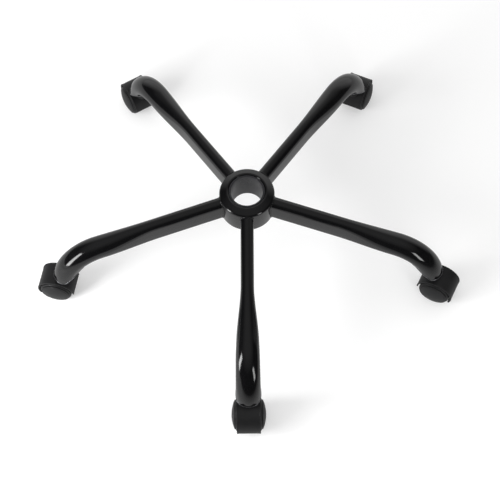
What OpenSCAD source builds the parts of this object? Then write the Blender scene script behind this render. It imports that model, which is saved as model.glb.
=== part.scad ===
// Five star office chair base: a welded steel hub with five bent tube arms
// and five twin wheel casters. The origin is the centre of the gas spring
// socket's mouth, with +Z up along the column.

/* [Base] */
// Radius of the circle that the caster stems stand on
stem_circle_r = 301; // [270:1:340]
// Height of the gas spring socket's mouth above the floor
mouth_height = 154; // [140:1:170]

/* [Gas spring socket] */
// Diameter of the straight land at the socket's mouth
bore_d = 50.2; // [48:0.1:52]
// Depth of the straight land
bore_land = 12; // [6:1:18]
// Fall in diameter along the taper below the land
bore_fall = 2; // [0:0.1:3]
// Length of the socket sleeve
sleeve_len = 51; // [44:1:58]
// Wall of the socket sleeve at its mouth
sleeve_wall = 3; // [2:0.5:6]
// Chamfer at the sleeve's mouth
sleeve_chamfer = 0.6; // [0.2:0.1:1.5]

/* [Hub shell] */
// Outer diameter of the pressed hub shell
shell_d = 86; // [76:1:100]
// Sheet thickness of the shell
shell_wall = 2.5; // [1.5:0.5:4]
// Height of the shell's shoulder below the socket's mouth
shoulder_drop = 3; // [2:0.5:8]
// Radius of the rounded shoulder
shoulder_r = 5; // [3:0.5:8]
// Depth of the shell from its shoulder to its lower rim
shell_depth = 45; // [40:1:52]
// Height of the shell's inner lip above the socket's mouth
lip_rise = 0.8; // [0.2:0.1:2]
// Inner radius of the lip's curl
lip_bend = 0.5; // [0.2:0.1:2]
// Thickness of the ring that closes the hub below
base_ring_t = 3; // [2:0.5:5]

/* [Arm tube] */
// Diameter of the round tube where it starts to bend
tube_d = 36; // [34:0.5:40]
// Diameter of the tube at its opened mouth
mouth_d = 38.5; // [36:0.5:42]
// Wall of the tube
tube_wall = 1.5; // [1:0.1:2.5]
// Width of the flattened tube beside the hub
flat_w = 20; // [16:0.5:26]
// Height of the flattened tube beside the hub
flat_h = 45; // [38:0.5:48]
// Fall of the arm towards its end, in degrees
arm_droop = 3; // [1:0.1:5]
// Distance from the column to where the sides start to open out
blend_start = 148; // [120:1:170]
// Length over which the lower half of the section becomes round
blend_low = 85; // [60:1:95]
// Length over which the upper half of the section becomes round
blend_high = 118; // [90:1:125]
// Radius of the bend along the tube's centre
bend_r = 63; // [58:1:70]
// Angle of the tube's end below the horizontal
bend_end = 84; // [76:1:88]
// Flattening of the section inside the bend, as a share of its diameter
bend_squash = 0.08; // [0:0.01:0.15]
// Distance from the stem axis to the corners of the notch, outwards
notch_corner = 7; // [4:0.5:10]
// Slope of the notch under the bend, in degrees
notch_slope = 42; // [30:1:50]

/* [Caster] */
// Wheel diameter
wheel_d = 50; // [45:1:55]
// Width across both treads
tread_w = 35; // [32:1:40]
// Width across the domed wheel faces
caster_w = 53; // [48:1:58]
// Width of the web between the wheels
web_w = 12.8; // [12:0.2:14]
// Gap between the web and each wheel
web_gap = 0.6; // [0.4:0.1:1]
// Offset from the stem axis to the axle
trail = 16.5; // [14:0.5:20]
// Gap between a wheel's tread and the hood
hood_gap = 2; // [1.5:0.5:4]
// Wall of the hood
hood_wall = 2.5; // [2:0.5:3.5]
// Width of the hood at its top
hood_top_w = 37.5; // [36:0.5:44]
// Width of the hood at its lower rim
hood_low_w = 36; // [32:0.5:37]
// Reach of the hood below the axle on its closed side, in degrees
hood_reach = 27; // [15:1:35]
// Gap between the hood's top and the tube's mouth
hood_clear = 5.5; // [3:0.5:8]

/* [Wheel] */
// Radius of the domed wheel face
dome_r = 55; // [40:1:80]
// Wall of the dished wheel
wheel_wall = 3; // [2:0.5:4]
// Diameter of the boss that holds the axle
wheel_boss_d = 13; // [10:0.5:16]
// Radius of the ring groove in the wheel face
groove_ring_r = 21; // [16:0.5:22]
// Depth of that groove
groove_depth = 0.5; // [0.2:0.1:1]
// Radius of the tread's rounded edges
tread_round = 2.5; // [1:0.5:4]

/* [Caster stem] */
// Diameter of the stem in its socket
stem_d = 11; // [10:0.5:12]
// Length of the stem in its socket
stem_len = 22; // [18:1:24]
// Clearance on the radius of the stem in its socket
seat_gap = 0.05; // [0.02:0.01:0.1]
// Width of the split grip ring
grip_w = 3; // [2:0.5:4]
// Thickness of the split grip ring
grip_t = 0.8; // [0.5:0.1:1.2]
// Open angle of the grip ring's slit, in degrees
grip_slit = 25; // [15:5:60]
// Diameter of the socket's boss round the stem
boss_d = 18; // [16:0.5:20]
// Thickness of the socket above the stem's end
cap_t = 3; // [2:0.5:5]
// Length of the socket along the tube
plug_len = 44; // [36:1:50]
// Gap between the socket and the tube's wall
plug_gap = 0.3; // [0.1:0.1:0.6]
// Diameter of the stem's shoulder
shoulder_d = 16; // [14:0.5:18]
// Thickness of the stem's shoulder
shoulder_t = 2; // [1.5:0.5:3]
// Diameter of the pin that the hood turns on
pin_d = 8; // [7:0.5:8.5]
// Length of the pin in the hood
pin_len = 26; // [20:1:28]
// Gap between the hood and the stem's shoulder
swivel_gap = 0.3; // [0.2:0.1:0.6]
// Running clearance on the radius of a turning fit
run_gap = 0.05; // [0.02:0.01:0.08]
// Axle diameter
axle_d = 6; // [5:0.5:7]

/* [Caster headings] */
// Heading of the front caster, from stem to axle, in degrees from +X
heading_front = -90; // [-180:1:180]
// Heading of the front right caster
heading_front_right = -26; // [-180:1:180]
// Heading of the back right caster
heading_back_right = 66; // [-180:1:180]
// Heading of the back left caster
heading_back_left = 120; // [-180:1:180]
// Heading of the front left caster
heading_front_left = 169; // [-180:1:180]

/* [Hidden] */
$fn = 96;
PLACES = [
    ["front", -90, heading_front],
    ["front_right", -18, heading_front_right],
    ["back_right", 54, heading_back_right],
    ["back_left", 126, heading_back_left],
    ["front_left", 198, heading_front_left]
];
PIECES = ["arm", "socket", "stem", "grip_ring", "hood", "axle", "wheel_left", "wheel_right"];

// Colours
GLOSS_BLACK = "#161618";
NYLON_BLACK = "#1d1d1f";
BARE_STEEL = "#a9abae";
OVER = 1;

// Heights above the floor
wheel_r = wheel_d / 2;
hood_r = wheel_r + hood_gap + hood_wall;
hood_top = wheel_r + hood_r;
shoulder_z = hood_top + swivel_gap;
socket_z = shoulder_z + shoulder_t;
mouth_z = hood_top + hood_clear;
shell_top = mouth_height - shoulder_drop;
shell_bottom = shell_top - shell_depth;

// Hub sleeve and the shell's inner lip
bore_r = bore_d / 2;
sleeve_r = bore_r + sleeve_wall;

// Shoulder and curled lip of the shell: two arcs that share the dome's tangent
shoulder_at = [shell_d / 2 - shoulder_r, shell_top - shoulder_r];
lip_r = lip_bend + shell_wall;
lip_at = [sleeve_r + lip_r, mouth_height + lip_rise - lip_r];
lip_run = lip_at - shoulder_at;
dome_angle = atan2(lip_run[1], lip_run[0]) - acos((shoulder_r - lip_r) / norm(lip_run));

// Path of an arm: a straight fall from the hub, then a bend towards the floor
bend_x = stem_circle_r - bend_r * sin(bend_end);
bend_z = mouth_z - (notch_corner + bend_r) * cos(bend_end);
bend_start_x = bend_x + bend_r * sin(arm_droop);
bend_start_z = bend_z + bend_r * cos(arm_droop);
root_x = shell_d / 2 - shoulder_r;
RING_SIDES = 24;
BLEND_STEPS = 9;
BEND_STEPS = 8;

// Caster stem, pin and the web that carries them
socket_top = socket_z + stem_len + cap_t;
pin_bottom = shoulder_z - pin_len;
wheel_in = web_w / 2 + web_gap;
axle_len = caster_w - 2 * wheel_wall - 2 * run_gap;

function smooth(t) = let(c = min(max(t, 0), 1)) c * c * (3 - 2 * c);
function mix(a, b, t) = a + (b - a) * t;

// A station is [x, z, slope below the horizontal, lower blend, upper blend, bend progress]
function station(x, z, slope, progress) = [
    x, z, slope,
    smooth((x - blend_start) / blend_low), smooth((x - blend_start) / blend_high), progress
];
function straight_station(x) =
    station(x, bend_start_z + (bend_start_x - x) * tan(arm_droop), arm_droop, 0);
function bend_station(t) = let(slope = mix(arm_droop, bend_end, t))
    station(bend_x + bend_r * sin(slope), bend_z + bend_r * cos(slope), slope, t);
function bend_share(length) = length / (bend_r * (bend_end - arm_droop) * PI / 180);
function arm_stations(over) = concat(
    [straight_station(root_x - over)],
    [for (i = [0 : BLEND_STEPS - 1]) straight_station(mix(blend_start, bend_start_x, i / BLEND_STEPS))],
    [for (i = [0 : BEND_STEPS - 1]) bend_station(i / BEND_STEPS)],
    [bend_station(1 + bend_share(over))]
);

// Points of the tube's section at a station, set in from the outside by inset
function arm_ring(s, inset) = let(
    round_r = mix(tube_d, mouth_d, s[5]) / 2 - inset,
    flat_r = flat_w / 2 - inset,
    side = (flat_h - flat_w) / 2,
    middle = (s[3] + s[4]) / 2,
    squash = 1 - bend_squash * sin(180 * min(s[5], 1))
) [
    for (k = [0 : RING_SIDES - 1]) let(
        a = (k + 0.5) * 360 / RING_SIDES,
        across = cos(a) * mix(flat_r, round_r, mix(s[4], s[3], (1 - sin(a)) / 2)),
        up = squash * (sin(a) * mix(flat_r, round_r, middle) + sign(sin(a)) * side * (1 - middle))
    ) [s[0] + up * sin(s[2]), across, s[1] + up * cos(s[2])]
];

// Solid swept through a list of stations
module sweep(stations, inset) {
    n = RING_SIDES;
    last = len(stations) - 1;
    points = [for (s = stations) each arm_ring(s, inset)];
    sides = [
        for (i = [0 : last - 1], k = [0 : n - 1])
            [i * n + k, (i + 1) * n + k, (i + 1) * n + (k + 1) % n, i * n + (k + 1) % n]
    ];
    ends = [[for (k = [0 : n - 1]) k], [for (k = [0 : n - 1]) last * n + n - 1 - k]];
    polyhedron(points, concat(sides, ends));
}

// Block that cuts the notch under the bend, set back by lift
module notch(lift) {
    size = 2 * mouth_d;
    translate([stem_circle_r + notch_corner * sin(bend_end), 0, mouth_z])
        rotate([0, notch_slope, 0])
            translate([-size, -size / 2, lift - size])
                cube([2 * size, size, size]);
}

// Places round the hub and on a caster stem
module on_arm(place) {
    translate([0, 0, -mouth_height]) rotate([0, 0, place[1]]) children();
}
module on_stem(place) {
    on_arm(place) translate([stem_circle_r, 0, 0]) rotate([0, 0, place[2] - place[1]]) children();
}
module on_axle() {
    translate([trail, 0, wheel_r]) rotate([90, 0, 0]) children();
}
module round_hub() {
    translate([0, 0, -mouth_height]) rotate_extrude() children();
}

// Half section of the shell, filled to the axis and set in by inset
module shell_section(inset) {
    normal = [cos(dome_angle), sin(dome_angle)];
    translate(shoulder_at) circle(r = shoulder_r - inset);
    polygon([
        [0, shell_bottom],
        [shell_d / 2 - inset, shell_bottom],
        [shell_d / 2 - inset, shoulder_at[1]],
        shoulder_at + (shoulder_r - inset) * normal,
        lip_at + (lip_r - inset) * normal,
        lip_at,
        [0, lip_at[1]]
    ]);
    intersection() {
        translate(lip_at) circle(r = lip_r - inset);
        translate([0, lip_at[1]]) square([shell_d, lip_r]);
    }
}

module hub_shell() {
    color(GLOSS_BLACK)
        round_hub()
            difference() {
                shell_section(0);
                shell_section(shell_wall);
                translate([0, shell_bottom]) square([sleeve_r, mouth_height]);
            }
}

module hub_sleeve() {
    color(BARE_STEEL)
        round_hub()
            difference() {
                translate([0, mouth_height - sleeve_len]) square([sleeve_r, sleeve_len]);
                translate([0, mouth_height - bore_land]) square([bore_r, bore_land + OVER]);
                polygon([
                    [0, mouth_height - bore_land],
                    [bore_r, mouth_height - bore_land],
                    [bore_r - bore_fall / 2, mouth_height - sleeve_len],
                    [bore_r - bore_fall / 2, mouth_height - sleeve_len - OVER],
                    [0, mouth_height - sleeve_len - OVER]
                ]);
                polygon([
                    [sleeve_r - sleeve_chamfer, mouth_height],
                    [sleeve_r, mouth_height - sleeve_chamfer],
                    [sleeve_r + OVER, mouth_height],
                    [sleeve_r, mouth_height + OVER]
                ]);
            }
}

module hub_base_ring() {
    color(GLOSS_BLACK)
        round_hub()
            translate([sleeve_r, shell_bottom])
                square([shell_d / 2 - shell_wall - sleeve_r, base_ring_t]);
}

module arm() {
    color(GLOSS_BLACK)
        difference() {
            sweep(arm_stations(0), 0);
            sweep(arm_stations(OVER), tube_wall);
            translate([0, 0, shell_bottom - flat_h]) cylinder(d = shell_d, h = 3 * flat_h);
            notch(0);
        }
}

// Moulded plug in the tube's end, with a boss round the stem
module socket() {
    first = 1 - bend_share(plug_len);
    last = 1 - bend_share(OVER);
    steps = BEND_STEPS / 2;
    color(NYLON_BLACK)
        difference() {
            union() {
                difference() {
                    sweep(
                        [for (i = [0 : steps]) bend_station(mix(first, last, i / steps))],
                        tube_wall + plug_gap
                    );
                    notch(tube_wall);
                }
                translate([stem_circle_r, 0, socket_z]) cylinder(d = boss_d, h = stem_len);
            }
            translate([0, 0, socket_z - flat_h]) cylinder(r = 2 * stem_circle_r, h = flat_h);
            translate([0, 0, socket_top]) cylinder(r = 2 * stem_circle_r, h = flat_h);
            translate([stem_circle_r, 0, socket_z - OVER])
                cylinder(r = stem_d / 2 + seat_gap, h = stem_len + OVER);
        }
}

module stem() {
    groove_z = socket_z + stem_len - 2 * grip_w;
    color(BARE_STEEL) {
        difference() {
            translate([0, 0, socket_z]) cylinder(d = stem_d, h = stem_len - grip_w / 2);
            translate([0, 0, groove_z]) grip_band(stem_d / 2 + OVER, grip_w, 360);
        }
        translate([0, 0, socket_z + stem_len - grip_w / 2])
            cylinder(d1 = stem_d, d2 = stem_d - grip_w, h = grip_w / 2);
        translate([0, 0, shoulder_z]) cylinder(d = shoulder_d, h = shoulder_t);
        translate([0, 0, pin_bottom]) cylinder(d = pin_d, h = pin_len);
    }
}

// Ring between the groove's floor and an outer radius
module grip_band(outer_r, width, angle) {
    floor_r = stem_d / 2 + seat_gap - grip_t;
    rotate_extrude(angle = angle) translate([floor_r, 0]) square([outer_r - floor_r, width]);
}

module grip_ring() {
    color(BARE_STEEL)
        translate([0, 0, socket_z + stem_len - 2 * grip_w])
            grip_band(stem_d / 2 + seat_gap, grip_w, 360 - grip_slit);
}

// Hood over the wheels: a drafted band about the axle, a web between the wheels and a boss
module hood() {
    inner_r = hood_r - hood_wall;
    low_z = wheel_r - hood_r * sin(hood_reach);
    color(NYLON_BLACK)
        difference() {
            union() {
                intersection() {
                    on_axle()
                        rotate([0, 0, -hood_reach])
                            rotate_extrude(angle = 180 + hood_reach)
                                translate([inner_r, -hood_top_w]) square([hood_wall, 2 * hood_top_w]);
                    translate([trail, 0, 0])
                        rotate([90, 0, 90])
                            linear_extrude(height = 3 * hood_r, center = true)
                                polygon([
                                    [-hood_low_w / 2, low_z],
                                    [hood_low_w / 2, low_z],
                                    [hood_top_w / 2, hood_top],
                                    [-hood_top_w / 2, hood_top]
                                ]);
                }
                intersection() {
                    on_axle() cylinder(r = inner_r + hood_wall / 2, h = web_w, center = true);
                    translate([trail - hood_r, -web_w / 2, wheel_r]) cube([2 * hood_r, web_w, hood_r]);
                }
                on_axle() cylinder(d = wheel_boss_d, h = web_w, center = true);
                translate([0, 0, hood_top - 2 * hood_wall]) cylinder(d = boss_d, h = 2 * hood_wall);
            }
            translate([0, 0, pin_bottom - swivel_gap]) cylinder(r = pin_d / 2 + run_gap, h = pin_len + OVER);
            on_axle() cylinder(d = axle_d, h = 2 * web_w, center = true);
        }
}

module axle() {
    color(BARE_STEEL) on_axle() cylinder(d = axle_d, h = axle_len, center = true);
}

// Half section of a wheel from the axle outwards
module wheel_section() {
    face = caster_w / 2;
    difference() {
        intersection() {
            square([wheel_d, caster_w]);
            union() {
                translate([0, wheel_in]) square([wheel_r - tread_round, face]);
                translate([0, wheel_in + tread_round])
                    square([wheel_r, tread_w / 2 - wheel_in - tread_round]);
                for (y = [wheel_in + tread_round, tread_w / 2])
                    translate([wheel_r - tread_round, y]) circle(r = tread_round);
            }
            translate([0, face - dome_r]) circle(r = dome_r);
        }
        intersection() {
            translate([wheel_boss_d / 2, wheel_in - OVER])
                square([wheel_r - wheel_wall - wheel_boss_d / 2, face]);
            translate([0, face - dome_r]) circle(r = dome_r - wheel_wall);
        }
        translate([0, wheel_in - OVER])
            square([axle_d / 2 + run_gap, axle_len / 2 + run_gap - wheel_in + OVER]);
        translate([groove_ring_r, face - dome_r + sqrt(dome_r ^ 2 - groove_ring_r ^ 2)])
            circle(r = groove_depth);
    }
}

// Wheel on the left (side 1) or right (side -1) of its heading
module wheel(side) {
    color(NYLON_BLACK)
        translate([trail, 0, wheel_r])
            rotate([-90 * side, 0, 0])
                rotate_extrude() wheel_section();
}

hub_shell();
hub_sleeve();
hub_base_ring();
for (place = PLACES) {
    on_arm(place) arm();
    on_arm(place) socket();
    on_stem(place) stem();
    on_stem(place) grip_ring();
    on_stem(place) hood();
    on_stem(place) axle();
    on_stem(place) wheel(1);
    on_stem(place) wheel(-1);
}
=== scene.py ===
import math
import random

import bmesh
import bpy
from mathutils import Matrix, Vector


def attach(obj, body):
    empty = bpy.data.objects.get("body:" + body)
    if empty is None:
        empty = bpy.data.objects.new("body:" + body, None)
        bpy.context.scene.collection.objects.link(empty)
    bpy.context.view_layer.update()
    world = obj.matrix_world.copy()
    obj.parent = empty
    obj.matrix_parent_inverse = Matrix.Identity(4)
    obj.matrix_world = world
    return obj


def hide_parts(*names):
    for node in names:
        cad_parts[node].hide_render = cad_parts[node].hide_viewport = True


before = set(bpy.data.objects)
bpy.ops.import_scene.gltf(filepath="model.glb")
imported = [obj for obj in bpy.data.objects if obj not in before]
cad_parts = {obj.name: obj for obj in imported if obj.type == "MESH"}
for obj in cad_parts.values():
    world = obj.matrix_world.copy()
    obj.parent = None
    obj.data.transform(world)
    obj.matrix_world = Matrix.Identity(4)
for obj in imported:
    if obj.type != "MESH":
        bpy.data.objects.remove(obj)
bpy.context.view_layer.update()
mm = 0.001
print("frame loaded")

# The camera first: fitted to the hub's rings, the arms and the tube ends of the photo
view = {
    "elevation": 62.98,   # degrees above the horizon
    "azimuth": 1.60,      # degrees round from the front arm
    "roll": -2.03,        # degrees
    "distance": 2500.0,   # mm from the point that it turns about
    "depth": 151.43,      # mm from the socket's mouth down to that point
    "focal": 1531.42,     # focal length in pixels of a 500 pixel frame
    "frame": 500.0,
    "shiftX": 1.64,       # pixels
    "shiftY": -14.38,
    "sensor": 36.0,       # mm
    "near": 0.05,         # metres
    "far": 100.0,
}
base = {
    "mouthHeight": 154.0,   # socket's mouth above the floor
    "stemCircle": 301.0,
}


def placeCamera():
    e, az, roll = (math.radians(view[k]) for k in ("elevation", "azimuth", "roll"))
    back = Vector((math.sin(az) * math.cos(e), -math.cos(az) * math.cos(e), math.sin(e)))
    right = Vector((math.cos(az), math.sin(az), 0))
    up = back.cross(right)
    turned = Matrix((
        math.cos(roll) * right + math.sin(roll) * up,
        -math.sin(roll) * right + math.cos(roll) * up,
        back,
    )).transposed()
    data = bpy.data.cameras.new("camera")
    camera = bpy.data.objects.new("camera", data)
    bpy.context.scene.collection.objects.link(camera)
    pivot = Vector((0, 0, -view["depth"]))
    place = Matrix.Translation((pivot + back * view["distance"]) * mm)
    camera.matrix_world = place @ turned.to_4x4()
    data.sensor_width = view["sensor"]
    data.lens = view["focal"] / view["frame"] * view["sensor"]
    data.shift_x = view["shiftX"] / view["frame"]
    data.shift_y = view["shiftY"] / view["frame"]
    data.clip_start, data.clip_end = view["near"], view["far"]
    bpy.context.scene.camera = camera


placeCamera()
bpy.context.scene.view_settings.view_transform = "Standard"
print("camera placed")


# An sRGB hex colour in the linear values that Blender works in
def linear(text):
    parts = [int(text[i:i + 2], 16) / 255 for i in (1, 3, 5)]
    low, high = [c / 12.92 for c in parts], [((c + 0.055) / 1.055) ** 2.4 for c in parts]
    return tuple(a if c <= 0.04045 else b for a, b, c in zip(low, high, parts)) + (1.0,)


def addNode(tree, kind, links=None, sockets=None, **settings):
    node = tree.nodes.new("ShaderNode" + kind)
    for name, value in settings.items():
        setattr(node, name, value)
    for name, value in (sockets or {}).items():
        node.inputs[name].default_value = value
    for name, source in (links or {}).items():
        tree.links.new(source, node.inputs[name])
    return node


def newMaterial(name, shader):
    material = bpy.data.materials.new(name)
    material.use_nodes = True
    tree = material.node_tree
    tree.nodes.clear()
    body = addNode(tree, "BsdfPrincipled", sockets=shader)
    addNode(tree, "OutputMaterial", links={"Surface": body.outputs["BSDF"]})
    place = addNode(tree, "TexCoord").outputs["Object"]
    return material, tree, body, place


# A mesh from points in mm, riding on body and standing in for the CAD pieces in stands
def newPiece(name, points, faces, body, material, stands, smooth=35):
    mesh = bpy.data.meshes.new(name)
    mesh.from_pydata([tuple(c * mm for c in p) for p in points], [], faces)
    mesh.validate()
    tidy = bmesh.new()
    tidy.from_mesh(mesh)
    bmesh.ops.recalc_face_normals(tidy, faces=tidy.faces)
    tidy.to_mesh(mesh)
    tidy.free()
    piece = bpy.data.objects.new(name, mesh)
    bpy.context.scene.collection.objects.link(piece)
    mesh.materials.append(material)
    mesh.shade_smooth()
    mesh.set_sharp_from_angle(angle=math.radians(smooth))
    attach(piece, body)
    if stands:
        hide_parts(*stands)
    return piece


# Rounds the edges that are sharper than angle
def roundEdges(piece, name, width, segments, angle):
    edge = piece.modifiers.new(name, "BEVEL")
    edge.width = width * mm
    edge.segments = segments
    edge.limit_method = "ANGLE"
    edge.angle_limit = math.radians(angle)


# Rows loops of columns points each, joined by quads
def gridFaces(rows, columns, closedRows=False):
    faces = []
    for i in range(rows if closedRows else rows - 1):
        a, b = i * columns, (i + 1) % rows * columns
        for k in range(columns):
            after = (k + 1) % columns
            faces.append((a + k, a + after, b + after, b + k))
    return faces


# Closed half section (r, z) turned round Z
def lathe(profile, steps, place=lambda p: p):
    points = []
    for i in range(steps):
        t = 2 * math.pi * i / steps
        points += [place(Vector((r * math.cos(t), r * math.sin(t), z))) for r, z in profile]
    return points, gridFaces(steps, len(profile), True)


# Points on an arc in degrees, ends included
def arc(centre, radius, start, end, steps):
    turns = [math.radians(start + (end - start) * i / steps) for i in range(steps + 1)]
    return [(centre[0] + radius * math.cos(t), centre[1] + radius * math.sin(t)) for t in turns]


# Closed outline with each corner rounded by its own radius
def rounded(corners, radii, steps=5):
    out = []
    n = len(corners)
    for i, (corner, radius) in enumerate(zip(corners, radii)):
        here = Vector(corner)
        if radius <= 0:
            out.append(tuple(here))
            continue
        before, after = Vector(corners[i - 1]) - here, Vector(corners[(i + 1) % n]) - here
        half = before.angle(after) / 2
        reach = radius / math.tan(half)
        before.normalize()
        after.normalize()
        centre = here + (before + after).normalized() * (radius / math.sin(half))
        u, v = here + before * reach - centre, here + after * reach - centre
        turn = u.angle(v)
        for k in range(steps + 1):
            s = k / steps
            w = (math.sin((1 - s) * turn) * u + math.sin(s * turn) * v) / math.sin(turn)
            out.append(tuple(centre + w))
    return out


# Materials: two shades, a drifting roughness and a bump
def dress(tree, body, noise, shades, look, bump, roughness=None):
    plain = look["roughness"] if roughness is None else roughness
    tone = addNode(tree, "Mix", {"Factor": noise.outputs["Fac"]}, data_type="RGBA")
    tone.inputs["A"].default_value = linear(shades[0])
    tone.inputs["B"].default_value = linear(shades[1])
    rough = addNode(tree, "MapRange", {"Value": noise.outputs["Fac"]},
                    {"From Min": 0.3, "From Max": 0.7,
                     "To Min": plain - look["smoother"], "To Max": plain + look["rougher"]})
    tree.links.new(tone.outputs["Result"], body.inputs["Base Color"])
    tree.links.new(rough.outputs["Result"], body.inputs["Roughness"])
    tree.links.new(bump.outputs["Normal"], body.inputs["Normal"])
    return rough


# Gloss powder coat on steel: black polyester, cured smooth. It flows out with a faint
# orange peel, which breaks the lamps' streaks a little, and it picks up fine dust.
powder = {
    "black": "#050506",
    "worn": "#0b0b0c",
    "roughness": 0.12,
    "smoother": 0.02,    # how far the roughness drifts below and above its plain value
    "rougher": 0.03,
    "ior": 1.5,
    "peelMm": 2.2,       # width of one dimple of the orange peel
    "peelDepth": 0.008,  # mm
    "peelShare": 0.35,
    "patchScale": 22.0,  # faint patches, per metre
    "dustMm": 0.9,
    "dustFrom": 0.66,    # level of the noise where dust begins
    "dustTo": 0.78,
    "dustRough": 0.05,   # what full dust adds to the roughness
}


def glossPowderCoat():
    material, tree, body, place = newMaterial("glossPowderCoat", {"IOR": powder["ior"]})
    peel = addNode(tree, "TexNoise", {"Vector": place},
                   {"Scale": 1 / (powder["peelMm"] * mm) / 2, "Detail": 1.5, "Roughness": 0.4})
    bump = addNode(tree, "Bump", {"Height": peel.outputs["Fac"]},
                   {"Strength": powder["peelShare"], "Distance": powder["peelDepth"] * mm})
    patches = addNode(tree, "TexNoise", {"Vector": place},
                      {"Scale": powder["patchScale"], "Detail": 4.0})
    rough = dress(tree, body, patches, (powder["black"], powder["worn"]), powder, bump)
    dust = addNode(tree, "TexNoise", {"Vector": place},
                   {"Scale": 1 / (powder["dustMm"] * mm), "Detail": 2.0, "Roughness": 0.7})
    specks = addNode(tree, "MapRange", {"Value": dust.outputs["Fac"]},
                     {"From Min": powder["dustFrom"], "From Max": powder["dustTo"],
                      "To Max": powder["dustRough"]})
    dusty = addNode(tree, "Math", {0: rough.outputs["Result"], 1: specks.outputs["Result"]},
                    operation="ADD")
    tree.links.new(dusty.outputs["Value"], body.inputs["Roughness"])
    return material


# Glass-filled nylon, moulded in a spark-eroded tool: satin black with an even fine grain
nylon = {
    "hood": "#111112",
    "wheel": "#131314",
    "plug": "#111112",
    "light": "#1a1a1b",
    "ior": 1.53,
    "shine": 0.3,       # the grain swallows part of the surface's reflection
    "roughness": 0.5,
    "wheelPolish": 0.03,    # the wheels are that much smoother, the plugs rougher
    "plugMatt": 0.1,
    "smoother": 0.04,
    "rougher": 0.05,
    "grainMm": 0.8,     # the real grain is 0.1 mm; drawn coarser so that it shows
    "grainDepth": 0.04,
    "grainShare": 0.6,
    "flowScale": 60.0,  # flow marks of the moulding, per metre
}


def mouldedNylon(name, colour, roughness):
    material, tree, body, place = newMaterial(
        name, {"IOR": nylon["ior"], "Specular IOR Level": nylon["shine"]})
    grain = addNode(tree, "TexNoise", {"Vector": place},
                    {"Scale": 1 / (nylon["grainMm"] * mm), "Detail": 3.0, "Roughness": 0.6})
    bump = addNode(tree, "Bump", {"Height": grain.outputs["Fac"]},
                   {"Strength": nylon["grainShare"], "Distance": nylon["grainDepth"] * mm})
    flow = addNode(tree, "TexNoise", {"Vector": place},
                   {"Scale": nylon["flowScale"], "Detail": 3.0})
    dress(tree, body, flow, (colour, nylon["light"]), nylon, bump, roughness)
    return material


# Turned steel socket under a thin black coat: the tool's rings still show, and the
# coat is thin enough for the steel's own gloss
socketLook = {
    "coat": "#2c2c2e",
    "steel": "#3c3c3f",
    "metal": 0.55,      # share of the steel that shows through
    "roughness": 0.3,
    "smoother": 0.05,
    "rougher": 0.08,
    "ringMm": 0.8,      # feed of the turning tool is 0.2 mm; drawn coarser so that it shows
    "ringDepth": 0.02,
    "ringShare": 0.3,
    "patchScale": 45.0,  # patches of the coat, per metre
}


def turnedSteel():
    material, tree, body, place = newMaterial(
        "coatedTurnedSteel", {"Metallic": socketLook["metal"]})
    rings = addNode(tree, "TexWave", {"Vector": place},
                    {"Scale": 1 / (socketLook["ringMm"] * mm) / 3.14, "Distortion": 0.4,
                     "Detail": 1.0},
                    wave_type="BANDS", bands_direction="Z")
    bump = addNode(tree, "Bump", {"Height": rings.outputs["Fac"]},
                   {"Strength": socketLook["ringShare"], "Distance": socketLook["ringDepth"] * mm})
    patches = addNode(tree, "TexNoise", {"Vector": place},
                      {"Scale": socketLook["patchScale"], "Detail": 4.0})
    dress(tree, body, patches, (socketLook["coat"], socketLook["steel"]), socketLook, bump)
    return material


# Zinc-plated steel: a pale metal with the faint mottle of the plating bath. The same metal,
# darker, makes a painted highlight: a pale ring along each tube's cut end, standing in for the
# light its edge catches.
plating = {
    "light": "#c4c6ca",
    "dark": "#a9abaf",
    "spring": "#8f9195",
    # The two shades of the painted highlight along the tubes' cut ends
    "highlightPale": "#7a7a7d",
    "highlightDim": "#5c5c5f",
    "roughness": 0.3,
    "smoother": 0.06,
    "rougher": 0.08,
    "mottleMm": 3.0,
    "mottleDepth": 0.02,
    "mottleShare": 0.2,
}


def platedSteel(name, light, dark):
    material, tree, body, place = newMaterial(name, {"Metallic": 1.0})
    mottle = addNode(tree, "TexNoise", {"Vector": place},
                     {"Scale": 1 / (plating["mottleMm"] * mm), "Detail": 4.0})
    bump = addNode(tree, "Bump", {"Height": mottle.outputs["Fac"]},
                   {"Strength": plating["mottleShare"], "Distance": plating["mottleDepth"] * mm})
    dress(tree, body, mottle, (light, dark), plating, bump)
    return material


coatedSteel = glossPowderCoat()
hoodNylon = mouldedNylon("satinNylonHood", nylon["hood"], nylon["roughness"])
wheelNylon = mouldedNylon(
    "satinNylonWheel", nylon["wheel"], nylon["roughness"] - nylon["wheelPolish"])
plugNylon = mouldedNylon(
    "mouldedNylonPlug", nylon["plug"], nylon["roughness"] + nylon["plugMatt"])
socketSteel = turnedSteel()
zincSteel = platedSteel("zincPlatedSteel", plating["light"], plating["dark"])
# Pale metal for the painted highlight along the tubes' cut ends
edgeHighlightMetal = platedSteel("paintedEdgeHighlight", plating["highlightPale"], plating["highlightDim"])
springSteel = platedSteel("brightSpringSteel", plating["dark"], plating["spring"])
print("materials made")

# CAD pieces that keep their own shape
finishes = {
    "hub_base_ring": (coatedSteel, "powder_coated_steel"),
    "socket": (plugNylon, "nylon_plug"),
    "stem": (zincSteel, "zinc_plated_steel"),
    "grip_ring": (springSteel, "spring_steel"),
    "axle": (zincSteel, "zinc_plated_steel"),
}
# Which way each arm points and its caster trails, in degrees
places = {
    "front": (-90, -90),
    "front_right": (-18, -26),
    "back_right": (54, 66),
    "back_left": (126, 120),
    "front_left": (198, 169),
}
for name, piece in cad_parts.items():
    for start, (material, slot) in finishes.items():
        if name.startswith(start):
            piece.data.materials.clear()
            piece.data.materials.append(material)

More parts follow.
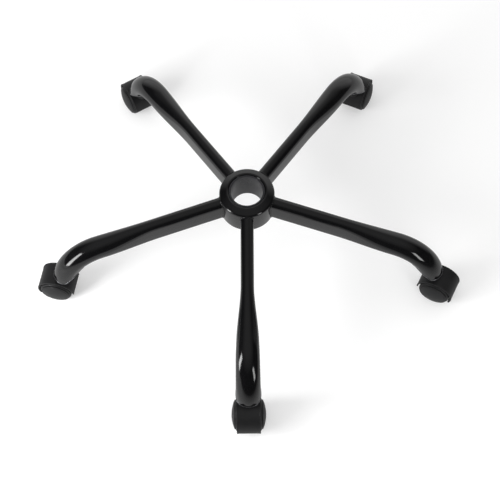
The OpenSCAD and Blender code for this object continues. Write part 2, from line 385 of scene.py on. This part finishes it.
# Hub: pressed shell with a curled lip, and the turned socket inside it
hub = {
    "shellDiameter": 86.0,
    "wall": 2.5,
    "shoulderDrop": 3.0,
    "shoulder": 5.0,
    "depth": 45.0,
    "lipRise": 0.8,
    "lipBend": 0.5,
    "rimRound": 0.7,
    "bore": 50.2,
    "boreLand": 12.0,
    "boreFall": 2.0,
    "sleeveLength": 51.0,
    "sleeveWall": 3.0,
    "sleeveChamfer": 0.6,
    "boreEdge": 0.5,
    "footRound": 0.4,
    "steps": 256,
}


def shellProfile():
    sleeve = hub["bore"] / 2 + hub["sleeveWall"]
    outer, wall = hub["shellDiameter"] / 2, hub["wall"]
    top = -hub["shoulderDrop"]
    bottom = top - hub["depth"]
    shoulderAt = (outer - hub["shoulder"], top - hub["shoulder"])
    lip = hub["lipBend"] + wall
    lipAt = (sleeve + lip, hub["lipRise"] - lip)
    run = Vector(lipAt) - Vector(shoulderAt)
    dome = math.degrees(math.atan2(run.y, run.x) - math.acos((hub["shoulder"] - lip) / run.length))
    outside = arc(shoulderAt, hub["shoulder"], 0, dome, 16) + arc(lipAt, lip, dome, 180, 18)
    inside = arc(lipAt, hub["lipBend"], 180, dome, 8)
    inside += arc(shoulderAt, hub["shoulder"] - wall, dome, 0, 10)
    foot = hub["rimRound"]
    rim = arc((outer - wall + foot, bottom + foot), foot, 180, 270, 5)
    rim += arc((outer - foot, bottom + foot), foot, 270, 360, 5)
    return outside + inside + rim


def sleeveProfile():
    bore = hub["bore"] / 2
    outer, low = bore + hub["sleeveWall"], -hub["sleeveLength"]
    foot, footRound = bore - hub["boreFall"] / 2, hub["footRound"]
    corners = [(bore, 0), (bore, -hub["boreLand"]), (foot, low), (outer, low), (outer, 0)]
    return rounded(corners, [hub["boreEdge"], 0, footRound, footRound, hub["sleeveChamfer"]])


points, faces = lathe(shellProfile(), hub["steps"])
newPiece("hubShell", points, faces, "frame", coatedSteel,
         ["hub_shell"])
points, faces = lathe(sleeveProfile(), hub["steps"])
newPiece("hubSocket", points, faces, "frame", socketSteel, ["hub_sleeve"])
print("hub made")

# Arm: one tube, flat beside the hub, round at its bent and notched end
arm = {
    "tube": 36.0,
    "mouth": 38.5,
    "wall": 1.5,
    "flatWidth": 20.0,
    "flatHeight": 45.0,
    "droop": 3.0,
    "blendStart": 148.0,
    "blendLow": 85.0,
    "blendHigh": 118.0,
    "bendRadius": 63.0,
    "bendEnd": 84.0,
    "squash": 0.08,
    "notchCorner": 7.0,
    "notchSlope": 42.0,
    "calm": 12.0,        # mm between the last plain ring and the cut
    "embed": 1.5,        # how far the tube goes into the shell's wall
    "around": 96,
    "along": 100,
    "edge": 0.5,         # rounding of the cut edge
    "edgeSteps": 3,
    "edgeAngle": 50,     # degrees
}
caster = {
    "wheel": 50.0,
    "tread": 35.0,
    "width": 53.0,
    "web": 12.8,
    "webGap": 0.6,
    "trail": 16.5,
    "hoodGap": 2.0,
    "hoodWall": 2.5,
    "hoodTop": 37.5,
    "hoodLow": 36.0,
    "hoodReach": 27.0,
    "hoodClear": 5.5,
    "dome": 55.0,
    "wheelWall": 3.0,
    "wheelBoss": 13.0,
    "grooveAt": 21.0,
    "groove": 0.5,       # depth of the ring in the wheel's face, then its half widths
    "grooveMouth": 0.55,
    "grooveFloor": 0.35,
    "grooveLip": 0.05,
    "step": 0.5,         # rounding where the face meets the tread
    "webRound": 0.3,
    "axis": 0.01,        # smallest radius of a turned section
    "treadRound": 2.5,
    "axle": 6.0,
    "runGap": 0.05,
    "pin": 8.0,
    "stemBoss": 18.0,
}
wheelR = caster["wheel"] / 2
hoodR = wheelR + caster["hoodGap"] + caster["hoodWall"]
hoodTop = wheelR + hoodR
mouthZ = hoodTop + caster["hoodClear"]
bendEnd, droop = math.radians(arm["bendEnd"]), math.radians(arm["droop"])
bendX = base["stemCircle"] - arm["bendRadius"] * math.sin(bendEnd)
bendZ = mouthZ - (arm["notchCorner"] + arm["bendRadius"]) * math.cos(bendEnd)
bendStartX = bendX + arm["bendRadius"] * math.sin(droop)
bendStartZ = bendZ + arm["bendRadius"] * math.cos(droop)
bendLength = arm["bendRadius"] * (bendEnd - droop)


def smooth(t):
    t = min(max(t, 0), 1)
    return t * t * (3 - 2 * t)


def mix(a, b, t):
    return a + (b - a) * t


# Point of the tube: s is the length along its centre from the bend's start, turn the
# angle round it and inset the depth below its surface
def armPoint(s, turn, inset):
    if s <= 0:
        slope, progress = droop, 0
        x = bendStartX + s * math.cos(droop)
        z = bendStartZ - s * math.sin(droop)
    else:
        progress = s / bendLength
        slope = mix(droop, bendEnd, progress)
        x = bendX + arm["bendRadius"] * math.sin(slope)
        z = bendZ + arm["bendRadius"] * math.cos(slope)
    low = smooth((x - arm["blendStart"]) / arm["blendLow"])
    high = smooth((x - arm["blendStart"]) / arm["blendHigh"])
    middle = (low + high) / 2
    roundR = mix(arm["tube"], arm["mouth"], progress) / 2 - inset
    flatR = arm["flatWidth"] / 2 - inset
    side = (arm["flatHeight"] - arm["flatWidth"]) / 2
    squash = 1 - arm["squash"] * math.sin(math.pi * min(progress, 1))
    across = math.cos(turn) * mix(flatR, roundR, mix(high, low, (1 - math.sin(turn)) / 2))
    lift = math.copysign(side * (1 - middle), math.sin(turn))
    up = squash * (math.sin(turn) * mix(flatR, roundR, middle) + lift)
    return Vector((x + up * math.sin(slope), across, z + up * math.cos(slope)))


notchTurn = math.radians(arm["notchSlope"])
notchX = base["stemCircle"] + arm["notchCorner"] * math.sin(bendEnd)
notchPoint = Vector((notchX, 0, mouthZ))
notchNormal = Vector((math.sin(notchTurn), 0, math.cos(notchTurn)))
# Where the bend runs parallel to the notch's face, so the notch ends there
notchStart = bendLength * (notchTurn - droop) / (bendEnd - droop)


# Length at which the notch or the tube's end cuts this line of the tube
def lastS(turn, inset):
    if (armPoint(bendLength, turn, inset) - notchPoint).dot(notchNormal) >= 0:
        return bendLength
    low, high = notchStart, bendLength
    for _ in range(30):
        half = (low + high) / 2
        if (armPoint(half, turn, inset) - notchPoint).dot(notchNormal) > 0:
            low = half
        else:
            high = half
    return low


# Length at which this line of the tube meets a cylinder of radius reach round the hub
def firstS(turn, inset, reach):
    low, high = -bendStartX, 0.0
    for _ in range(30):
        half = (low + high) / 2
        p = armPoint(half, turn, inset)
        if math.hypot(p.x, p.y) > reach and p.x > 0:
            high = half
        else:
            low = half
    return high


# Rings of points from the shell to the last plain ring, and on to the cut end
def armSurface(inset):
    turns = [2 * math.pi * (k + 0.5) / arm["around"] for k in range(arm["around"])]
    starts = [firstS(t, inset, hub["shellDiameter"] / 2 - arm["embed"]) for t in turns]
    ends = [lastS(t, inset) for t in turns]
    calm = min(ends) - arm["calm"]
    half = arm["along"] // 2
    rows = [[mix(a, calm, i / half) for a in starts] for i in range(half)]
    rows += [[mix(calm, b, i / half) for b in ends] for i in range(half + 1)]
    return [[armPoint(s, t, inset) for s, t in zip(row, turns)] for row in rows]


# From an arm that points along X with the floor at 0, to its place under the socket's mouth
def onArm(angle):
    turn = Matrix.Rotation(math.radians(angle), 4, "Z")
    drop = Vector((0, 0, -base["mouthHeight"]))
    return lambda p: turn @ p + drop


def makeArm(name, angle):
    put = onArm(angle)
    outside, inside = armSurface(0), armSurface(arm["wall"])
    rows = outside + inside[::-1]
    points = [put(p) for row in rows for p in row]
    piece = newPiece("arm_tube_" + name, points, gridFaces(len(rows), arm["around"], True),
                     "frame", coatedSteel, ["arm_" + name], 40)
    roundEdges(piece, "cutEdge", arm["edge"], arm["edgeSteps"], arm["edgeAngle"])


bead = {
    "radius": 1.3,       # mm, half the bead's width
    "ripple": 1.7,       # mm between the weld's ripples
    "ripplePoints": 6,
    "depth": 0.05,       # share of the radius
    "wander": 0.12,
    "waves": 5,          # slow waves that the hand's wander is made of
    "fewest": 3,         # how often such a wave goes up and down round the tube
    "most": 17,
    "around": 12,
    "samples": 240,
    "seed": 4,
}
# A painted highlight: a thin ring of pale metal along the cut end of a tube, so a pale line shows
# there
highlightEdge = {
    "radius": 0.7,
    "sink": 0.15,
    "back": 0.6,         # mm from the cut
    "around": 10,
    "samples": 220,
}


# Points round a closed line: away holds the outward direction and radii the radius at each point
def ringPoints(line, away, radii, around):
    points = []
    for i, (p, out, radius) in enumerate(zip(line, away, radii)):
        along = (line[(i + 1) % len(line)] - line[i - 1]).normalized()
        side = along.cross(out).normalized()
        for k in range(around):
            t = 2 * math.pi * k / around
            points.append(p + out * (radius * math.cos(t)) + side * (radius * math.sin(t)))
    return points


# The closed line where a tube meets the hub's shell
def footLine():
    ring = []
    for i in range(bead["samples"]):
        turn = 2 * math.pi * (i + 0.5) / bead["samples"]
        ring.append(armPoint(firstS(turn, 0, hub["shellDiameter"] / 2), turn, 0))
    return ring


# The same closed line with its points evenly spaced
def evenLine(ring, steps):
    count = len(ring)
    lengths = [0.0]
    for i in range(count):
        lengths.append(lengths[-1] + (ring[(i + 1) % count] - ring[i]).length)
    line, j = [], 0
    for i in range(steps):
        want = lengths[-1] * i / steps
        while lengths[j + 1] < want:
            j += 1
        share = (want - lengths[j]) / (lengths[j + 1] - lengths[j])
        line.append(ring[j].lerp(ring[(j + 1) % count], share))
    return line


# Fillet weld round the foot of a tube
def makeBead(name, angle):
    put = onArm(angle)
    ring = footLine()
    length = sum((ring[i] - ring[i - 1]).length for i in range(len(ring)))
    steps = int(length / bead["ripple"]) * bead["ripplePoints"]
    line = evenLine(ring, steps)
    dice = random.Random(bead["seed"] + angle)
    waves = [(dice.randint(bead["fewest"], bead["most"]), dice.random() * 2 * math.pi)
             for _ in range(bead["waves"])]
    radii = []
    for i in range(steps):
        drift = sum(math.sin(2 * math.pi * n * i / steps + c) for n, c in waves) / len(waves)
        ripple = math.sin(2 * math.pi * i / bead["ripplePoints"])
        radii.append(bead["radius"] * (1 + bead["depth"] * ripple + bead["wander"] * drift))
    away = [Vector((p.x, p.y, 0)).normalized() for p in line]
    points = [put(p) for p in ringPoints(line, away, radii, bead["around"])]
    newPiece("weld_" + name, points, gridFaces(steps, bead["around"], True),
             "frame", coatedSteel, None, 60)


# Painted highlight: a pale ring along the cut end of a tube
def makeHighlightEdge(name, angle):
    put = onArm(angle)
    count = highlightEdge["samples"]
    line, away = [], []
    for i in range(count):
        turn = 2 * math.pi * (i + 0.5) / count
        s = lastS(turn, 0) - highlightEdge["back"]
        line.append(armPoint(s, turn, highlightEdge["sink"]))
        away.append((armPoint(s, turn, 0) - armPoint(s, turn, arm["wall"])).normalized())
    radii = [highlightEdge["radius"]] * count
    points = [put(p) for p in ringPoints(line, away, radii, highlightEdge["around"])]
    newPiece("highlight_edge_" + name, points, gridFaces(count, highlightEdge["around"], True),
             "frame", edgeHighlightMetal, None, 60)


for name, (angle, heading) in places.items():
    makeArm(name, angle)
    makeBead(name, angle)
    makeHighlightEdge(name, angle)
print("arms made")


# From a caster with its stem on Z and trailing along X, to its place under its arm
def onStem(angle, heading):
    turn = math.radians(angle)
    out = Vector((math.cos(turn), math.sin(turn), 0))
    stem = out * base["stemCircle"] - Vector((0, 0, base["mouthHeight"]))
    spin = Matrix.Rotation(math.radians(heading), 4, "Z")
    return lambda p: spin @ p + stem


# Closed half section of a wheel: (r, distance from the caster's middle)
def wheelProfile():
    face, dome = caster["width"] / 2, caster["dome"]
    wall, inner = caster["wheelWall"], caster["web"] / 2 + caster["webGap"]
    boss = caster["wheelBoss"] / 2
    half = caster["tread"] / 2
    rnd = caster["treadRound"]
    hole = caster["axle"] / 2 + caster["runGap"]
    holeTop = face - wall
    axis, web, turnIn = caster["axis"], caster["webRound"], caster["step"]

    def domeAt(r, inset=0):
        return face - dome + math.sqrt((dome - inset) ** 2 - r * r)

    step = wheelR - rnd
    groove, deep = caster["grooveAt"], caster["groove"]
    wide, narrow, lip = caster["grooveMouth"], caster["grooveFloor"], caster["grooveLip"]
    outline = [(axis, domeAt(0))]
    outline += [(r, domeAt(r)) for r in [2, 4, 6, 8, 10, 12, 14, 16, 18, 19.5, groove - 0.8]]
    outline += [(groove - wide, domeAt(groove - wide) - lip),
                (groove - narrow, domeAt(groove) - deep * 0.7),
                (groove, domeAt(groove) - deep),
                (groove + narrow, domeAt(groove) - deep * 0.7),
                (groove + wide, domeAt(groove + wide) - lip)]
    outline += arc((step - turnIn, domeAt(step - turnIn) - turnIn), turnIn, 75, 0, 5)
    outline += arc((step, half), rnd, 90, 0, 8)
    outline += arc((step, inner + rnd), rnd, 0, -90, 8)
    outline += [(wheelR - wall, inner), (wheelR - wall, domeAt(wheelR - wall, wall) - web)]
    outline += [(r, domeAt(r, wall)) for r in [19, 16, 13, 10, 7.5]]
    outline += [(boss, domeAt(boss, wall) - web), (boss, inner), (hole, inner),
                (hole, holeTop), (axis, holeTop)]
    return outline


wheelShape = wheelProfile()


def makeWheel(name, angle, heading, side):
    put = onStem(angle, heading)
    word = "left" if side > 0 else "right"

    def place(p):
        return put(Vector((caster["trail"] + p.x, side * p.z, wheelR + p.y)))

    points, faces = lathe(wheelShape, 128, place)
    cadName = "wheel_%s_%s" % (word, name)
    newPiece("caster_" + cadName, points, faces, cadName, wheelNylon, [cadName], 40)


hoodLook = {
    "edge": 0.48,      # rounding of the band's outer edges
    "round": 0.3,      # rounding of its other edges
    "lip": 0.35,       # rise of the bead along each edge
    "lipWidth": 1.3,
    "lipSlope": 0.5,
    "steps": 96,
    "bossRound": 0.8,
    "mouldEdge": 0.4,
    "mouldSteps": 2,
    "mouldAngle": 60,  # degrees
}


# Points and faces of the hood's band, round the axle
def hoodBand():
    inner = hoodR - caster["hoodWall"]
    lowZ = wheelR - hoodR * math.sin(math.radians(caster["hoodReach"]))
    plain, edge = hoodLook["round"], hoodLook["edge"]
    rows = []
    for i in range(hoodLook["steps"] + 1):
        turn = math.radians(mix(-caster["hoodReach"], 180, i / hoodLook["steps"]))
        height = wheelR + hoodR * math.sin(turn)
        share = (height - lowZ) / (hoodTop - lowZ)
        half = mix(caster["hoodLow"], caster["hoodTop"], share) / 2
        w, low = hoodLook["lipWidth"], hoodR - hoodLook["lip"]
        slope = w + hoodLook["lipSlope"]
        outline = rounded(
            [(-half, inner), (half, inner), (half, hoodR), (half - w, hoodR), (half - slope, low),
             (-half + slope, low), (-half + w, hoodR), (-half, hoodR)],
            [plain, plain, edge, plain, plain, plain, plain, edge], 4)
        rows.append([(y, r, turn) for y, r in outline])
    count = len(rows[0])
    points = [Vector((caster["trail"] + r * math.cos(t), y, wheelR + r * math.sin(t)))
              for row in rows for y, r, t in row]
    faces = gridFaces(len(rows), count)
    faces.append(tuple(range(count)))
    faces.append(tuple(len(points) - 1 - k for k in range(count)))
    return points, faces


# Half disc between the wheels, with the axle's boss below it
def hoodWeb():
    inner = hoodR - caster["hoodWall"] / 2
    boss = caster["wheelBoss"] / 2
    half = caster["web"] / 2
    outline = arc((0, 0), inner, 0, 180, 45) + arc((0, 0), boss, 180, 360, 15)
    count = len(outline)
    points = [Vector((caster["trail"] + x, y, wheelR + z))
              for y in (-half, half) for x, z in outline]
    faces = gridFaces(2, count)
    faces.append(tuple(range(count)))
    faces.append(tuple(2 * count - 1 - k for k in range(count)))
    return points, faces


# Round boss that the stem's pin turns in
def hoodBoss():
    r, low = caster["stemBoss"] / 2, hoodTop - 2 * caster["hoodWall"]
    bore = caster["pin"] / 2 + caster["runGap"]
    profile = rounded([(bore, low), (r, low), (r, hoodTop), (bore, hoodTop)],
                      [0, 0, hoodLook["bossRound"], hoodLook["round"]], 4)
    return lathe(profile, 72)


def makeHood(name, angle, heading):
    put = onStem(angle, heading)
    points, faces = [], []
    for some, theirs in (hoodBand(), hoodWeb(), hoodBoss()):
        shift = len(points)
        points += some
        faces += [tuple(k + shift for k in f) for f in theirs]
    piece = newPiece("caster_hood_" + name, [put(p) for p in points], faces, "caster_" + name,
                     hoodNylon, ["hood_" + name], 35)
    roundEdges(piece, "mouldEdge", hoodLook["mouldEdge"], hoodLook["mouldSteps"],
               hoodLook["mouldAngle"])


for name, (angle, heading) in places.items():
    makeHood(name, angle, heading)
    makeWheel(name, angle, heading, 1)
    makeWheel(name, angle, heading, -1)
print("casters made")

# Studio: a white table that ends in front, a bright sweep behind it, dark room elsewhere
studio = {
    "floor": "#f4f4f4",
    "floorSize": 12.0,       # metres
    "glow": 0.27,            # share of the floor's white that no shadow takes away
    "shade": 0.75,
    "mirrored": 0.62,        # the table's white in the gloss coat
    "edgeWay": (0.55, -0.83, 0.0),   # the table ends in this direction
    "edgeFrom": 0.30,        # metres from the middle
    "edgeTo": 0.62,
    "room": 0.05,            # what lies beyond the table
    "around": 0.75,          # plain level of the soft light
    "backWay": (0.17, 0.98, 0.0),
    "backFrom": 0.40,
    "backTo": 0.80,
    "sweep": 0.88,
    "ceiling": 0.34,
    "ceilingFrom": 0.55,
    "ceilingTo": 0.95,
}


# Rays that bounce off a coat or metal, or pass through glass
def mirrorRays(tree, path):
    return addNode(tree, "Math", {0: path.outputs["Is Glossy Ray"],
                                  1: path.outputs["Is Transmission Ray"]},
                   operation="MAXIMUM")


# The table: white for the camera, darker in the coat, plain paint for all other light
def makeFloor():
    size = studio["floorSize"] / 2
    z = -base["mouthHeight"] * mm
    mesh = bpy.data.meshes.new("floor")
    corners = [(-size, -size, z), (size, -size, z), (size, size, z), (-size, size, z)]
    mesh.from_pydata(corners, [], [(0, 1, 2, 3)])
    floor = bpy.data.objects.new("floor", mesh)
    bpy.context.scene.collection.objects.link(floor)
    material = bpy.data.materials.new("paleFloor")
    material.use_nodes = True
    tree = material.node_tree
    tree.nodes.clear()
    paint = addNode(tree, "BsdfDiffuse", sockets={"Color": linear(studio["floor"])})
    glow = addNode(tree, "Emission", sockets={"Color": (1, 1, 1, 1), "Strength": studio["glow"]})
    dim = addNode(tree, "BsdfDiffuse", sockets={"Color": (studio["shade"],) * 3 + (1,)})
    white = addNode(tree, "AddShader", {0: glow.outputs[0], 1: dim.outputs[0]})
    spot = addNode(tree, "NewGeometry").outputs["Position"]
    far = addNode(tree, "VectorMath", {0: spot}, {1: studio["edgeWay"]}, operation="DOT_PRODUCT")
    past = addNode(tree, "MapRange", {"Value": far.outputs["Value"]},
                   {"From Min": studio["edgeFrom"], "From Max": studio["edgeTo"]})
    path = addNode(tree, "LightPath")
    shown = addNode(tree, "MapRange", {"Value": past.outputs["Result"]},
                    {"To Min": studio["mirrored"], "To Max": studio["room"]})
    share = addNode(tree, "Mix", {"Factor": path.outputs["Is Glossy Ray"],
                                  "B": shown.outputs["Result"]}, {"A": 1.0})
    dark = addNode(tree, "Emission", sockets={"Strength": 0.0})
    table = addNode(tree, "MixShader",
                    {0: share.outputs["Result"], 1: dark.outputs[0], 2: white.outputs[0]})
    bounced = mirrorRays(tree, path)
    seen = addNode(tree, "Math", {0: path.outputs["Is Camera Ray"], 1: bounced.outputs[0]},
                   operation="MAXIMUM")
    pick = addNode(tree, "MixShader",
                   {0: seen.outputs[0], 1: paint.outputs[0], 2: table.outputs[0]})
    addNode(tree, "OutputMaterial", {"Surface": pick.outputs[0]})
    mesh.materials.append(material)


# The camera sees white; metal and gloss see the same white as a sweep behind the base,
# which fades to a dim ceiling and a dark room; all other light is one plain level.
def makeWorld():
    world = bpy.data.worlds.new("studio")
    world.use_nodes = True
    tree = world.node_tree
    tree.nodes.clear()
    way = addNode(tree, "TexCoord").outputs["Generated"]
    back = addNode(tree, "VectorMath", {0: way}, {1: studio["backWay"]}, operation="DOT_PRODUCT")
    sweep = addNode(tree, "MapRange", {"Value": back.outputs["Value"]},
                    {"From Min": studio["backFrom"], "From Max": studio["backTo"],
                     "To Min": studio["room"], "To Max": studio["sweep"]})
    height = addNode(tree, "SeparateXYZ", {"Vector": way}).outputs["Z"]
    lift = addNode(tree, "MapRange", {"Value": height},
                   {"From Min": studio["ceilingFrom"], "From Max": studio["ceilingTo"]})
    glow = addNode(tree, "Mix", {"Factor": lift.outputs["Result"], "A": sweep.outputs["Result"]},
                   {"B": studio["ceiling"]})
    even = {"Color": (1, 1, 1, 1)}
    mirrored = addNode(tree, "Background", {"Strength": glow.outputs["Result"]}, even)
    white = addNode(tree, "Background", sockets={**even, "Strength": 1.0})
    plain = addNode(tree, "Background", sockets={**even, "Strength": studio["around"]})
    path = addNode(tree, "LightPath")
    gloss = mirrorRays(tree, path)
    shown = addNode(tree, "MixShader",
                    {0: gloss.outputs[0], 1: plain.outputs[0], 2: mirrored.outputs[0]})
    pick = addNode(tree, "MixShader",
                   {0: path.outputs["Is Camera Ray"], 1: shown.outputs[0], 2: white.outputs[0]})
    addNode(tree, "OutputWorld", {"Surface": pick.outputs[0]})
    bpy.context.scene.world = world


# Places and sizes in mm, power in watts. The soft boxes stand upright, where the photo's
# streaks say. The key light gives the soft shadows, and the coat doesn't show it.
lamps = {
    "softBoxLeft": {"place": (-665, -389, 195), "size": (165, 480), "power": 3.2},
    "softBoxRight": {"place": (600, -710, 185), "size": (165, 400), "power": 1.5},
    "keyLight": {"place": (-2500, -1160, 1200), "size": (2000, 1300), "power": 62.0},
}


def makeLamp(name):
    values = lamps[name]
    data = bpy.data.lights.new(name, "AREA")
    data.shape = "RECTANGLE"
    data.size, data.size_y = (length * mm for length in values["size"])
    data.energy = values["power"]
    lamp = bpy.data.objects.new(name, data)
    bpy.context.scene.collection.objects.link(lamp)
    lamp.location = Vector(values["place"]) * mm
    lamp.rotation_mode = "QUATERNION"
    isKey = name == "keyLight"
    floor = Vector((0, 0, -base["mouthHeight"] * mm))
    away = lamp.location - floor if isKey else Vector((lamp.location.x, lamp.location.y, 0))
    lamp.rotation_quaternion = away.to_track_quat("Z", "Y")
    lamp.visible_glossy = not isKey


makeFloor()
makeWorld()
for name in lamps:
    makeLamp(name)
print("studio made")
